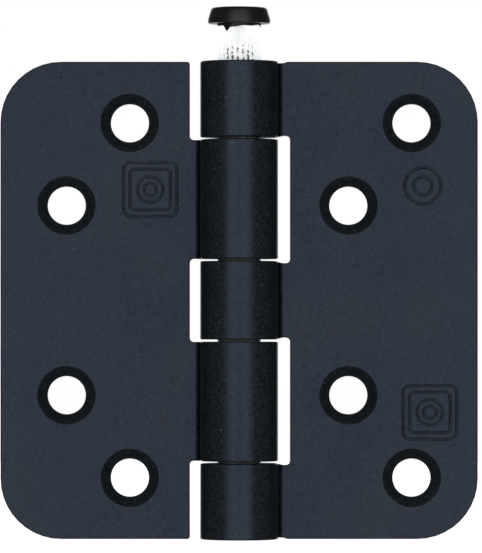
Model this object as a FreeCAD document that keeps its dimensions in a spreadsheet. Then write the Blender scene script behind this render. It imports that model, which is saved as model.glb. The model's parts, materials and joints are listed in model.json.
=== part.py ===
import FreeCAD, Part
import math
import os

import Sketcher

# A butt hinge pressed from steel sheet, open flat.  The frame: the pin's axis is Z, the screwed-down
# backs of the leaves face +Y, the countersunk faces -Y, and the leaves' lower edge is at Z = 0.
# Each leaf is one sheet whose edge is curled round the pin into knuckles: the frame leaf (+X side)
# has three, the door leaf (-X side) two.  The loose pin stands part of the way out of the barrel.

DIMENSIONS = (
    # the leaves
    ("hinge_height", 89.0),
    ("leaf_reach", 44.5),  # from the pin's axis to a leaf's outer edge
    ("sheet_thickness", 3.15),  # 3 mm steel and its coating
    ("corner_radius", 11.3),
    ("face_setback", 0.9),  # the leaf's face behind the pin's axis
    # the barrel
    ("barrel_radius", 7.25),
    ("bore_radius", 4.1),
    ("first_joint", 14.35),  # from a leaf's end to the middle of the first gap between knuckles
    ("second_joint", 37.0),
    ("knuckle_gap", 0.4),
    ("knuckle_edge", 0.35),  # radius on a knuckle's outer edges
    # the swage that joins a leaf to its knuckles
    ("swage_inset", 0.25),  # the bent strip drew in at the leaf's ends when it was bent
    ("face_bend_start", 8.2),
    ("face_bend_radius", 0.8),
    ("face_bend_angle", 42.0),
    ("back_bend_radius", 7.0),
    ("seam_angle", 13.0),  # where the curled end of the sheet meets the leaf, from +X
    ("seam_width", 0.2),
    # the cut-outs that the other leaf's knuckles turn in
    ("frame_cutout_reach", 9.5),
    ("frame_cutout_overrun", 0.35),
    ("door_cutout_reach", 9.2),
    ("door_cutout_overrun", 0.05),
    ("cutout_corner", 0.75),
    # screw holes
    ("screw_hole_diameter", 7.1),
    ("countersink_diameter", 10.85),
    ("countersink_angle", 90.0),
    ("near_hole_reach", 20.4),
    ("far_hole_reach", 32.2),
    ("end_hole_height", 33.1),  # from the leaf's middle height
    ("middle_hole_height", 17.7),
    # the pin
    ("pin_radius", 4.02),
    ("pin_length", 87.8),  # under the head
    ("pin_lift", 7.0),  # how far the head stands above the barrel
    ("pin_chamfer", 0.8),
    ("head_radius", 5.8),
    ("head_top_radius", 5.3),
    ("head_height", 3.0),
    ("head_rim_height", 0.7),
    ("head_top_round", 0.65),
    ("head_edge_round", 0.25),
    ("knurl_radius", 4.06),
    ("knurl_depth", 0.2),
    ("knurl_start", 3.8),  # under the head
    ("knurl_length", 9.0),
    ("knurl_count", 25),
)

LEAST_CUT = 0.01  # cubic millimetres that a cut must take away
THROUGH_ALL = 1  # a pocket's Type for a cut right through

doc = FreeCAD.newDocument("DoorHinge")
sheet = doc.addObject("Spreadsheet::Sheet", "Dimensions")
for row, (alias, value) in enumerate(DIMENSIONS, start=1):
    sheet.set(f"A{row}", alias)
    sheet.set(f"B{row}", str(value))
    sheet.setAlias(f"B{row}", alias)
doc.recompute()


def cell(alias):
    """The name of a driving dimension, as an expression reads it."""
    return f"Dimensions.{alias}"


def number(expression):
    """The value of an expression over the driving dimensions."""
    value = sheet.evalExpression(expression.replace("Dimensions.", ""))
    return float(getattr(value, "Value", value))


def new_sketch(body, name, role, offset="0"):
    """An empty sketch on one of the body's own planes, moved by offset along the plane's normal."""
    plane = next(item for item in body.Origin.OriginFeatures if item.Role == role)
    sketch = body.newObject("Sketcher::SketchObject", name)
    sketch.AttachmentSupport = [(plane, "")]
    sketch.MapMode = "FlatFace"
    sketch.setExpression("AttachmentOffset.Base.z", offset)
    return sketch


def pin_point(sketch, geometry, end, x, y):
    """Hold a point of the sketch at the coordinates that two expressions give."""
    for kind, expression in (("DistanceX", x), ("DistanceY", y)):
        index = sketch.addConstraint(
            Sketcher.Constraint(kind, geometry, end, number(expression))
        )
        sketch.setExpression(f"Constraints[{index}]", expression)


def arc_centre(start, finish, radius):
    """Centre of the arc from start to finish: left of the chord for a radius above 0."""
    chord = finish - start
    rise = math.sqrt(max(radius**2 - (chord.Length / 2) ** 2, 0.0))
    normal = FreeCAD.Vector(-chord.y, chord.x, 0).normalize()
    return (start + finish) / 2 + normal * math.copysign(rise, radius)


def outline(sketch, corners):
    """A closed outline.  Each corner is (x, y) or (x, y, turn, radius): with a turn of +1 or -1
    the stretch that follows it is an arc of that radius, counterclockwise or clockwise."""
    points = [FreeCAD.Vector(number(c[0]), number(c[1]), 0) for c in corners]
    first = sketch.GeometryCount
    for place, corner in enumerate(corners):
        start = points[place]
        finish = points[(place + 1) % len(points)]
        if len(corner) == 2:
            sketch.addGeometry(Part.LineSegment(start, finish))
            continue
        centre = arc_centre(start, finish, corner[2] * number(corner[3]))
        circle = Part.Circle(centre, FreeCAD.Vector(0, 0, 1), (start - centre).Length)
        ends = (start, finish) if corner[2] > 0 else (finish, start)
        angles = [math.atan2(p.y - centre.y, p.x - centre.x) for p in ends]
        sketch.addGeometry(Part.ArcOfCircle(circle, angles[0], angles[1]))
    for place, corner in enumerate(corners):
        here = first + place
        after = first + (place + 1) % len(corners)
        begin = 2 if len(corner) == 4 and corner[2] < 0 else 1
        close = 3 - begin
        following = corners[(place + 1) % len(corners)]
        begin_after = 2 if len(following) == 4 and following[2] < 0 else 1
        sketch.addConstraint(Sketcher.Constraint("Coincident", here, close, after, begin_after))
        pin_point(sketch, here, begin, corner[0], corner[1])
        if len(corner) == 4:
            index = sketch.addConstraint(Sketcher.Constraint("Radius", here, number(corner[3])))
            sketch.setExpression(f"Constraints[{index}]", corner[3])


def circle(sketch, x, y, diameter):
    """A circle at (x, y)."""
    centre = FreeCAD.Vector(number(x), number(y), 0)
    index = sketch.addGeometry(
        Part.Circle(centre, FreeCAD.Vector(0, 0, 1), number(diameter) / 2)
    )
    pin_point(sketch, index, 3, x, y)
    constraint = sketch.addConstraint(Sketcher.Constraint("Diameter", index, number(diameter)))
    sketch.setExpression(f"Constraints[{constraint}]", diameter)


def add_feature(body, kind, name, sketch, **settings):
    """A feature on a sketch.  Text settings are expressions over the driving dimensions."""
    feature = body.newObject(f"PartDesign::{kind}", name)
    feature.Profile = sketch
    for key, value in settings.items():
        if isinstance(value, str):
            feature.setExpression(key, value)
        else:
            setattr(feature, key, value)
    doc.recompute()
    return feature


def must_shrink(body, before, name):
    """Stop when a cut has taken nothing away."""
    if body.Shape.Volume > before - LEAST_CUT:
        raise RuntimeError(f"{name} cut nothing")


# Expressions that more than one feature uses
HEIGHT = cell("hinge_height")
GAP = cell("knuckle_gap")
SWAGE_INSET = cell("swage_inset")
SETBACK = cell("face_setback")
BACK = f"({SETBACK} + {cell('sheet_thickness')})"
REACH = cell("leaf_reach")
CORNER = cell("corner_radius")
BARREL = cell("barrel_radius")
BORE = cell("bore_radius")
FIRST = cell("first_joint")
SECOND = cell("second_joint")

# The back of the swage is an arc tangent to the barrel and to the leaf's back
BACK_BEND = cell("back_bend_radius")
BACK_BEND_X = f"sqrt(({BARREL} + {BACK_BEND})^2 - ({BACK} + {BACK_BEND})^2)"
BACK_TOUCH_X = f"({BACK_BEND_X} * {BARREL} / ({BARREL} + {BACK_BEND}))"
BACK_TOUCH_Y = f"(({BACK} + {BACK_BEND}) * {BARREL} / ({BARREL} + {BACK_BEND}))"

# Knuckles from the bottom up: each ends half a gap from the joint between it and the next
FRAME_KNUCKLES = (
    ("0", f"{FIRST} - {GAP} / 2"),
    (f"{SECOND} + {GAP} / 2", f"{HEIGHT} - {SECOND} - {GAP} / 2"),
    (f"{HEIGHT} - {FIRST} + {GAP} / 2", HEIGHT),
)
DOOR_KNUCKLES = (
    (f"{FIRST} + {GAP} / 2", f"{SECOND} - {GAP} / 2"),
    (f"{HEIGHT} - {SECOND} + {GAP} / 2", f"{HEIGHT} - {FIRST} - {GAP} / 2"),
)


def side_of(expression, side):
    """The same distance on the leaf's own side of the axis."""
    return f"{side} * ({expression})"


def pad_plate(body, side):
    """The flat sheet with its two round outer corners, full height."""
    sketch = new_sketch(body, "plate_outline", "XZ_Plane", f"-{SETBACK}")
    inner = side_of(BACK_BEND_X, side)
    outer = side_of(REACH, side)
    round_start = side_of(f"{REACH} - {CORNER}", side)
    outline(
        sketch,
        (
            (inner, "0"),
            (round_start, "0", side, CORNER),
            (outer, CORNER),
            (outer, f"{HEIGHT} - {CORNER}", side, CORNER),
            (round_start, HEIGHT),
            (inner, HEIGHT),
        ),
    )
    add_feature(body, "Pad", "plate", sketch, Length=cell("sheet_thickness"), Reversed=True)


def pad_swage(body, side):
    """The bent strip between the plate and the barrel: its face dips to the seam, its back
    sweeps out round the barrel."""
    sketch = new_sketch(body, "swage_section", "XY_Plane", SWAGE_INSET)
    bend = cell("face_bend_radius")
    angle = f"{cell('face_bend_angle')} * 1 deg"
    seam = f"{cell('seam_angle')} * 1 deg"
    start = cell("face_bend_start")
    outline(
        sketch,
        (
            (side_of(BACK_BEND_X, side), SETBACK),
            (side_of(start, side), SETBACK, -side, bend),
            (side_of(f"{start} - {bend} * sin({angle})", side),
             f"{SETBACK} + {bend} * (1 - cos({angle}))"),
            (side_of(f"{BARREL} * cos({seam})", side), f"{BARREL} * sin({seam})"),
            (side_of(BACK_TOUCH_X, side), BACK_TOUCH_Y, side, BACK_BEND),
            (side_of(BACK_BEND_X, side), BACK),
        ),
    )
    add_feature(body, "Pad", "swage", sketch, Length=f"{HEIGHT} - 2 * {SWAGE_INSET}")


def cut_clearances(body, side, ranges, reach, overrun):
    """The cut-outs that the other leaf's knuckles turn in, with round inner corners."""
    before = body.Shape.Volume
    sketch = new_sketch(body, "cutout_outline", "XZ_Plane")
    corner = cell("cutout_corner")
    edge = side_of(reach, side)
    round_start = side_of(f"{reach} - {corner}", side)
    for low, high in ranges:
        bottom = f"{low} - {overrun}"
        top = f"{high} + {overrun}"
        outline(
            sketch,
            (
                ("0", bottom),
                (round_start, bottom, side, corner),
                (edge, f"{bottom} + {corner}"),
                (edge, f"{top} - {corner}", side, corner),
                (round_start, top),
                ("0", top),
            ),
        )
    add_feature(body, "Pocket", "cutouts", sketch, Type=THROUGH_ALL, Midplane=True)
    must_shrink(body, before, "cutouts")


def revolve_knuckles(body, knuckles):
    """The curled knuckles, each a ring with softly rounded outer edges."""
    sketch = new_sketch(body, "knuckle_sections", "XZ_Plane")
    edge = cell("knuckle_edge")
    for low, high in knuckles:
        outline(
            sketch,
            (
                (BORE, low),
                (f"{BARREL} - {edge}", low, 1, edge),
                (BARREL, f"{low} + {edge}"),
                (BARREL, f"{high} - {edge}", 1, edge),
                (f"{BARREL} - {edge}", high),
                (BORE, high),
            ),
        )
    settings = {"ReferenceAxis": (sketch, ["V_Axis"]), "Angle": 360.0}
    add_feature(body, "Revolution", "knuckles", sketch, **settings)


def cut_seam(body, side):
    """The fine slit where the end of the curled sheet comes back to the leaf."""
    before = body.Shape.Volume
    sketch = new_sketch(body, "seam_section", "XY_Plane")
    angle = f"{cell('seam_angle')} * 1 deg"
    half = f"{cell('seam_width')} / 2"
    inner = f"({BORE} - {cell('seam_width')})"
    outer = f"({BARREL} + {cell('seam_width')})"
    corners = []
    for along, across in ((inner, "-"), (outer, "-"), (outer, "+"), (inner, "+")):
        x = f"{along} * cos({angle}) - ({across}{half}) * sin({angle})"
        y = f"{along} * sin({angle}) + ({across}{half}) * cos({angle})"
        corners.append((side_of(x, side), y))
    outline(sketch, corners)
    add_feature(body, "Pocket", "seam", sketch, Length=HEIGHT, Reversed=True)
    must_shrink(body, before, "seam")


def drill_screw_holes(body, side, end_reach, middle_reach):
    """Four countersunk screw holes, two of them nearer the barrel than the others."""
    before = body.Shape.Volume
    sketch = new_sketch(body, "screw_centres", "XZ_Plane", f"-{SETBACK}")
    rows = (
        (end_reach, cell("end_hole_height")),
        (middle_reach, cell("middle_hole_height")),
    )
    for reach, height in rows:
        for sign in ("+", "-"):
            x = side_of(reach, side)
            z = f"{HEIGHT} / 2 {sign} {height}"
            circle(sketch, x, z, cell("screw_hole_diameter"))
    doc.recompute()
    hole = body.newObject("PartDesign::Hole", "screw_holes")
    hole.Profile = sketch
    hole.ThreadType = "None"
    hole.DepthType = "ThroughAll"
    hole.HoleCutType = "Countersink"
    hole.HoleCutCustomValues = True
    hole.setExpression("Diameter", cell("screw_hole_diameter"))
    hole.setExpression("HoleCutDiameter", cell("countersink_diameter"))
    hole.setExpression("HoleCutCountersinkAngle", cell("countersink_angle"))
    doc.recompute()
    must_shrink(body, before, "screw holes")


def make_leaf(label, side, knuckles, clearances, reach, overrun, end_reach, middle_reach):
    """One leaf with its knuckles; side is +1 for the +X leaf and -1 for the -X leaf."""
    body = doc.addObject("PartDesign::Body", label)
    body.Label = label
    pad_plate(body, side)
    pad_swage(body, side)
    cut_clearances(body, side, clearances, reach, overrun)
    revolve_knuckles(body, knuckles)
    cut_seam(body, side)
    drill_screw_holes(body, side, end_reach, middle_reach)
    body.Placement = FreeCAD.Placement()
    return body


def frame_leaf():
    """The leaf screwed to the door frame, with the top, middle and bottom knuckles."""
    clearances = (
        (FRAME_KNUCKLES[0][1], FRAME_KNUCKLES[1][0]),
        (FRAME_KNUCKLES[1][1], FRAME_KNUCKLES[2][0]),
    )
    return make_leaf(
        "frame_leaf",
        1,
        FRAME_KNUCKLES,
        clearances,
        cell("frame_cutout_reach"),
        cell("frame_cutout_overrun"),
        cell("far_hole_reach"),
        cell("near_hole_reach"),
    )


def door_leaf():
    """The leaf screwed to the door, with the two long knuckles between the frame leaf's three."""
    beyond = cell("corner_radius")
    clearances = (
        (f"-{beyond}", DOOR_KNUCKLES[0][0]),
        (DOOR_KNUCKLES[0][1], DOOR_KNUCKLES[1][0]),
        (DOOR_KNUCKLES[1][1], f"{HEIGHT} + {beyond}"),
    )
    return make_leaf(
        "door_leaf",
        -1,
        DOOR_KNUCKLES,
        clearances,
        cell("door_cutout_reach"),
        cell("door_cutout_overrun"),
        cell("near_hole_reach"),
        cell("far_hole_reach"),
    )


def revolve_pin(body):
    """Shaft, knurled band and button head in one turned profile."""
    sketch = new_sketch(body, "pin_profile", "XZ_Plane")
    head = f"({HEIGHT} + {cell('pin_lift')})"
    tip = f"({head} - {cell('pin_length')})"
    top = f"({head} + {cell('head_height')})"
    rim = f"({head} + {cell('head_rim_height')})"
    band_top = f"({head} - {cell('knurl_start')})"
    band_bottom = f"({band_top} - {cell('knurl_length')})"
    shaft = cell("pin_radius")
    chamfer = cell("pin_chamfer")
    band = cell("knurl_radius")
    band_edge = f"({band} - {shaft})"
    wide = cell("head_radius")
    narrow = cell("head_top_radius")
    rounding = cell("head_top_round")
    edge = cell("head_edge_round")
    outline(
        sketch,
        (
            ("0", tip),
            (f"{shaft} - {chamfer}", tip),
            (shaft, f"{tip} + {chamfer}"),
            (shaft, f"{band_bottom} - {band_edge}"),
            (band, band_bottom),
            (band, band_top),
            (shaft, f"{band_top} + {band_edge}"),
            (shaft, head),
            (f"{wide} - {edge}", head, 1, edge),
            (wide, f"{head} + {edge}"),
            (wide, rim),
            (narrow, f"{top} - {rounding}", 1, rounding),
            (f"{narrow} - {rounding}", top),
            ("0", top),
        ),
    )
    settings = {"ReferenceAxis": (sketch, ["V_Axis"]), "Angle": 360.0}
    add_feature(body, "Revolution", "turned_pin", sketch, **settings)


def cut_knurl(body):
    """Straight knurling: one V groove along the band, repeated round the pin."""
    before = body.Shape.Volume
    band_top = f"({HEIGHT} + {cell('pin_lift')} - {cell('knurl_start')})"
    sketch = new_sketch(body, "knurl_section", "XY_Plane", band_top)
    root = f"({cell('knurl_radius')} - {cell('knurl_depth')})"
    outside = f"({cell('knurl_radius')} + {cell('knurl_depth')})"
    half = f"({outside} * tan(180 deg / {cell('knurl_count')}))"
    outline(sketch, ((root, "0"), (outside, half), (outside, f"-{half}")))
    groove = add_feature(
        body, "Pocket", "knurl_groove", sketch, Length=cell("knurl_length")
    )
    must_shrink(body, before, "knurl groove")
    ring = body.newObject("PartDesign::PolarPattern", "knurl")
    ring.Originals = [groove]
    axis = next(item for item in body.Origin.OriginFeatures if item.Role == "Z_Axis")
    ring.Axis = (axis, [""])
    ring.Angle = 360.0
    ring.setExpression("Occurrences", cell("knurl_count"))
    body.Tip = ring
    doc.recompute()


def hinge_pin():
    """The loose headed pin."""
    body = doc.addObject("PartDesign::Body", "hinge_pin")
    body.Label = "hinge_pin"
    revolve_pin(body)
    cut_knurl(body)
    body.Placement = FreeCAD.Placement()
    return body


def check_document(parts):
    """Stop unless every object computed and every sub-part is one valid solid."""
    for item in doc.Objects:
        if "Invalid" in item.State or "Error" in item.State:
            raise RuntimeError(f"{item.Label}: {item.State}")
    for part in parts:
        shape = part.Shape
        if shape.isNull() or not shape.isValid() or len(shape.Solids) != 1:
            raise RuntimeError(f"{part.Label} is not one valid solid")


def write_parts(parts):
    """One STEP file for each sub-part, named by its label."""
    os.makedirs("parts", exist_ok=True)
    for part in parts:
        part.Shape.exportStep(os.path.join("parts", f"{part.Label}.step"))
        box = part.Shape.BoundBox
        print(
            f"{part.Label}: {part.Shape.Volume:.1f} mm3,"
            f" X {box.XMin:.2f}..{box.XMax:.2f}, Y {box.YMin:.2f}..{box.YMax:.2f},"
            f" Z {box.ZMin:.2f}..{box.ZMax:.2f}"
        )


PARTS = [frame_leaf(), door_leaf(), hinge_pin()]
doc.recompute()
check_document(PARTS)
write_parts(PARTS)
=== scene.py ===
"""Black steel loose-pin door hinge, standing open flat with its pin lifted.

Each leaf is made the way the real one is: a flat blank is cut from sheet with its holes,
countersinks and stamped marks, and its tabs are then rolled round the pin into knuckles.
"""

import json
import math

import bmesh
import bpy
import numpy as np
from bpy.props import FloatProperty, FloatVectorProperty, IntProperty, PointerProperty
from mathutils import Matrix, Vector
from mathutils.geometry import delaunay_2d_cdt


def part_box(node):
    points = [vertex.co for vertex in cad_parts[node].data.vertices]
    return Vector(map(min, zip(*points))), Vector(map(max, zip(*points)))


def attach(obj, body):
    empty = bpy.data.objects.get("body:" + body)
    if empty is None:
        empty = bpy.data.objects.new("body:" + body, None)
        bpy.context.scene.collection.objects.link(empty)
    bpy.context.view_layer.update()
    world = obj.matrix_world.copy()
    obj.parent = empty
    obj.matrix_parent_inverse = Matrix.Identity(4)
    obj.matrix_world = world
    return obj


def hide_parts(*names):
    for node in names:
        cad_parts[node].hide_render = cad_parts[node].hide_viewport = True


bl_info = {
    "name": "Loose-Pin Door Hinge",
    "version": (1, 0, 0),
    "blender": (4, 5, 0),
    "location": "3D View > Sidebar > Door Hinge",
    "description": "Builds the leaves, pin and stage of a door hinge round its CAD frame",
    "category": "Object",
}

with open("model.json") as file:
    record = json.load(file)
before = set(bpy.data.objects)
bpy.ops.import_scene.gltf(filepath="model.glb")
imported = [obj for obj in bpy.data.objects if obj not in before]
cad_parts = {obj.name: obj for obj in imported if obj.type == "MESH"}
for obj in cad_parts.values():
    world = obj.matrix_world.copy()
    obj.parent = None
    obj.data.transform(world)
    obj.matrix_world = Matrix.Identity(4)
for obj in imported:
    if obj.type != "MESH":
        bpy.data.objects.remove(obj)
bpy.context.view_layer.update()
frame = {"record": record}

MM = 0.001

# Sizes that the CAD frame gives
FRAME_LOW, FRAME_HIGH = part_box("frame_leaf")
PIN_LOW, PIN_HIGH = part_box("hinge_pin")
MOUNTS = {mount["name"]: mount for mount in frame["record"]["mounts"]}
HINGE_HEIGHT = FRAME_HIGH[2] - FRAME_LOW[2]
LEAF_REACH = FRAME_HIGH[0]
BARREL_RADIUS = -FRAME_LOW[0]
BACK_PLANE = MOUNTS["frame_leaf_back"]["pos_m"][1]
HOLE_RADIUS = MOUNTS["frame_leaf_outer_screws"]["dims"]["hole_r_mm"] * MM
HEAD_RADIUS = PIN_HIGH[0]
HEAD_TOP = PIN_HIGH[2]
PIN_TIP = PIN_LOW[2]

# Kinds of node that are used throughout
MATH = "ShaderNodeMath"
MIX = "ShaderNodeMix"
NOISE = "ShaderNodeTexNoise"
RAMP = "ShaderNodeValToRGB"
BUMP = "ShaderNodeBump"

# A blank's outline: the radius of its soft corners, how far before the bend a tab has its full
# width, where the strip draws in at the leaf's ends, and the corners of a tab's end.  A smaller
# corner than END_ROUND times the edge rounding would turn the rounded edge over on itself.
SOFT_CORNER = 1.0 * MM
FULL_WIDTH = 2.6 * MM
DRAWN_IN = (0.0, 0.7 * MM, 2.0 * MM, 2.9 * MM)
END_ROUND = 1.8

# The stamped marks: centres from the axis and from the leaf's middle height, then the radii of
# the rings and the half side and corner radius of the squares
FRAME_EMBLEM = (35.6 * MM, -20.9 * MM)
FRAME_RINGS = (34.3 * MM, 21.4 * MM)
DOOR_EMBLEM = (16.6 * MM, 20.7 * MM)
RING_RADII = (3.4 * MM, 1.7 * MM)
EMBLEM_SQUARES = ((5.0 * MM, 1.3 * MM), (3.8 * MM, 0.9 * MM))
EMBLEM_RADII = (2.4 * MM, 1.2 * MM)

# How many points go round a screw hole, a stamped ring, an emblem's ring and the pin's head
HOLE_STEPS = 72
RING_STEPS = 48
EMBLEM_STEPS = 40
HEAD_STEPS = 120


# ---------------------------------------------------------------- settings


def length(name, description, default):
    """A length property, in metres, with the limits that a hinge needs."""
    return FloatProperty(
        name=name, description=description, default=default, min=0.0, precision=5, unit="LENGTH"
    )


def colour(name, description, code):
    """A colour property whose default is an sRGB hex code."""
    return FloatVectorProperty(
        name=name, description=description, default=linear(code), size=3, min=0.0, max=1.0,
        subtype="COLOR",
    )


def linear(code):
    """Linear colour of an sRGB hex code such as #303740."""
    values = [int(code[place:place + 2], 16) / 255 for place in (1, 3, 5)]
    return tuple(v / 12.92 if v <= 0.04045 else ((v + 0.055) / 1.055) ** 2.4 for v in values)


class HINGE_PG_sheet(bpy.types.PropertyGroup):
    """The steel sheet that both leaves are pressed from."""

    face_plane: length("Face plane", "The leaves' face behind the pin's axis", 0.9 * MM)
    edge_round: length("Edge rounding", "Radius of the coated edges", 0.28 * MM)
    corner_radius: length("Corner radius", "Radius of a leaf's outer corners", 11.3 * MM)
    countersink_radius: length("Countersink radius", "Outer radius of a countersink", 5.425 * MM)
    frame_cutout: length("Frame cut-out reach", "Frame leaf's cut edge from the axis", 9.5 * MM)
    door_cutout: length("Door cut-out reach", "Door leaf's cut edge from the axis", 9.2 * MM)
    cutout_corner: length("Cut-out corner", "Radius in a cut-out's corners", 0.75 * MM)
    frame_overrun: length("Frame overrun", "Frame cut-out past its knuckles' ends", 0.35 * MM)
    door_overrun: length("Door overrun", "Door cut-out past its knuckles' ends", 0.05 * MM)
    stamp_depth: length("Stamp depth", "Depth of the stamped marks", 0.2 * MM)
    stamp_line: length("Stamp line", "Width of a stamped line", 0.62 * MM)


class HINGE_PG_barrel(bpy.types.PropertyGroup):
    """The rolled knuckles and the swage that joins them to a leaf."""

    bore_radius: length("Bore radius", "Radius inside the knuckles", 4.1 * MM)
    swage_inset: length("Swage inset", "How far the bent strip drew in at the ends", 0.25 * MM)
    first_joint: length("First joint", "Leaf's end to the middle of the first gap", 14.35 * MM)
    second_joint: length("Second joint", "Leaf's end to the middle of the second gap", 37.0 * MM)
    gap: length("Knuckle gap", "Gap between two knuckles", 0.4 * MM)
    face_bend_start: length("Face bend start", "Where the face dips, from the axis", 8.2 * MM)
    face_bend_radius: length("Face bend radius", "Radius of the face's bend", 0.8 * MM)
    back_bend_radius: length("Back bend radius", "Radius of the back's bend", 7.0 * MM)
    face_bend_angle: FloatProperty(
        name="Face bend angle", description="How far the face bends down to the seam",
        default=math.radians(42), subtype="ANGLE",
    )
    seam_angle: FloatProperty(
        name="Seam angle", description="Where the curled end comes back to the leaf",
        default=math.radians(13), subtype="ANGLE",
    )
    seam_width: length("Seam width", "Gap between the curled end and the leaf", 0.2 * MM)


class HINGE_PG_pin(bpy.types.PropertyGroup):
    """The loose pin."""

    shaft_radius: length("Shaft radius", "Radius of the plated shaft", 4.02 * MM)
    head_height: length("Head height", "Height of the button head", 3.0 * MM)
    head_top_radius: length("Head top radius", "Radius where the top rounding starts", 5.3 * MM)
    head_rim: length("Head rim", "Height of the head's widest band", 0.7 * MM)
    head_round: length("Head rounding", "Radius of the head's top edge", 0.65 * MM)
    knurl_depth: length("Knurl depth", "Depth of the straight knurl", 0.2 * MM)
    knurl_start: length("Knurl start", "Top of the knurl under the head", 3.8 * MM)
    knurl_length: length("Knurl length", "Length of the knurled band", 9.0 * MM)
    chamfer: length("Tip chamfer", "Chamfer at the pin's lower end", 0.8 * MM)
    paint_run: length("Paint run", "How far the head's paint reaches down the neck", 0.55 * MM)
    ridges: IntProperty(
        name="Ridges", description="Knurl ridges round the pin", default=25, min=3, max=60
    )


class HINGE_PG_finish(bpy.types.PropertyGroup):
    """Colours and grain of the finishes."""

    coat: colour("Coat", "Black powder coat", "#1B2123")
    coat_speck: colour("Coat speck", "Paler grains in the coat", "#525B64")
    coat_sheen: colour("Coat sheen", "Cool tint of the coat's reflections", "#CBDCFF")
    zinc: colour("Zinc", "Bright zinc plate", "#F2F4F4")
    # Painted shade: the dark colour that the shaft takes inside the barrel
    barrel_shade: colour("Grease", "Zinc under thin dark grease", "#2A2A29")
    enamel: colour("Enamel", "Brushed-on black paint of the head", "#101112")
    grain: length("Grain", "Size of the coat's texture", 0.35 * MM)


class HINGE_PG_stage(bpy.types.PropertyGroup):
    """Camera and light."""

    camera_distance: length("Camera distance", "Camera to the leaves' faces", 1000 * MM)
    camera_height: length("Camera height", "Camera above the floor", 38 * MM)
    frame_height: length("Framed height", "Height that the view takes in", 103.1 * MM)
    frame_centre: length("Framed centre", "Height of the view's middle", 48.95 * MM)
    lamp_distance: length("Lamp distance", "Soft boxes in front of the hinge", 500 * MM)
    floor: colour("Floor", "Pale studio floor", "#F2F2F0")


GROUPS = {
    "sheet": HINGE_PG_sheet,
    "barrel": HINGE_PG_barrel,
    "pin": HINGE_PG_pin,
    "finish": HINGE_PG_finish,
    "stage": HINGE_PG_stage,
}


def settings(name):
    """The property group of that name, such as sheet or pin."""
    return getattr(bpy.context.scene, f"hinge_{name}")


# ---------------------------------------------------------------- nodes and materials


def add_node(tree, kind, inputs=(), stops=(), **attributes):
    """Add a node with its settings and links, and return it.

    inputs maps a socket's name to what goes in, or lists the first sockets in order.  What goes
    in is a value, a socket, or a node that stands for its first output in use.  stops are the
    two (position, grey or RGBA) ends of a colour ramp."""
    node = tree.nodes.new(kind)
    for key, value in attributes.items():
        setattr(node, key, value)
    for key, value in inputs.items() if isinstance(inputs, dict) else enumerate(inputs):
        if isinstance(value, bpy.types.Node):
            value = next(socket for socket in value.outputs if socket.enabled)
        if isinstance(value, bpy.types.NodeSocket):
            tree.links.new(value, node.inputs[key])
        else:
            node.inputs[key].default_value = value
    if stops:
        for element, (position, value) in zip(node.color_ramp.elements, stops, strict=True):
            element.position = position
            element.color = (value, value, value, 1.0) if isinstance(value, float) else value
    return node


def new_material(name):
    """An empty node material and its tree."""
    material = bpy.data.materials.new(name)
    material.use_nodes = True
    material.node_tree.nodes.clear()
    return material, material.node_tree


def end_material(tree, inputs):
    """Close a material's tree with its Principled shader and output."""
    shader = add_node(tree, "ShaderNodeBsdfPrincipled", inputs)
    add_node(tree, "ShaderNodeOutputMaterial", {"Surface": shader})


def rgba(shade, share=1.0):
    """A colour setting as RGBA, darker or lighter by share."""
    return (*(share * c for c in shade), 1.0)


def powder_coat():
    """Black polyester powder coat, sprayed and baked on steel: a dull sheen over a fine, even
    orange-peel grain, a tone that drifts with the coat's thickness, a few paler grains where the
    powder clumped and a few pinholes, painted black inside as painted shade.  The grain is drawn
    about as coarse as such a coat's gets, so that it shows."""
    finish = settings("finish")
    material, tree = new_material("powder_coat")
    place = add_node(tree, "ShaderNodeTexCoord").outputs["Object"]
    per_grain = 1.0 / finish.grain
    fine, clumped, blotchy, cloudy = (
        add_node(tree, NOISE, {"Vector": place, "Scale": per_grain * share, "Detail": detail})
        for share, detail in ((1.0, 3.0), (0.8, 1.0), (0.6, 3.0), (0.022, 3.0))
    )
    cells = add_node(tree, "ShaderNodeTexVoronoi", {"Vector": place, "Scale": per_grain * 0.2})
    clumps = add_node(tree, RAMP, (clumped,), ((0.71, 0.0), (0.77, 1.0)))
    mottle = add_node(tree, RAMP, (blotchy,), ((0.38, 0.0), (0.62, 1.0)))
    drift = add_node(tree, RAMP, (cloudy,), ((0.35, 0.0), (0.65, 1.0)))
    hollows = add_node(tree, RAMP, (cells,), ((0.05, 0.0), (0.11, 1.0)))
    sheen = add_node(tree, RAMP, (mottle,), ((0.0, 0.30), (1.0, 0.37)))
    cool = rgba(finish.coat_sheen)
    cooler = (cool[0] * 0.88, cool[1] * 0.9, cool[2], 1.0)
    black = (0.0, 0.0, 0.0, 1.0)
    thin, thick = rgba(finish.coat, 0.6), rgba(finish.coat, 1.5)
    mottled = add_node(tree, MIX, {"Factor": mottle, "A": thin, "B": thick}, data_type="RGBA")
    # Painted shade: the pinholes' colour goes to black
    shaded_pits = add_node(tree, MIX, {"Factor": hollows, "A": black, "B": mottled}, data_type="RGBA")
    speck = rgba(finish.coat_speck)
    grains = add_node(tree, MIX, {"Factor": clumps, "A": shaded_pits, "B": speck}, data_type="RGBA")
    tint = add_node(tree, MIX, {"Factor": drift, "A": cooler, "B": cool}, data_type="RGBA")
    peel = add_node(tree, BUMP, {"Strength": 0.4, "Distance": 0.02 * MM, "Height": fine})
    dimples = add_node(
        tree, BUMP, {"Strength": 0.6, "Distance": 0.08 * MM, "Height": hollows, "Normal": peel}
    )
    end_material(tree, {
        "Base Color": grains,
        "Roughness": sheen,
        "IOR": 1.5,
        "Specular IOR Level": 0.55,
        "Specular Tint": tint,
        "Normal": dimples,
    })
    return material


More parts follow.
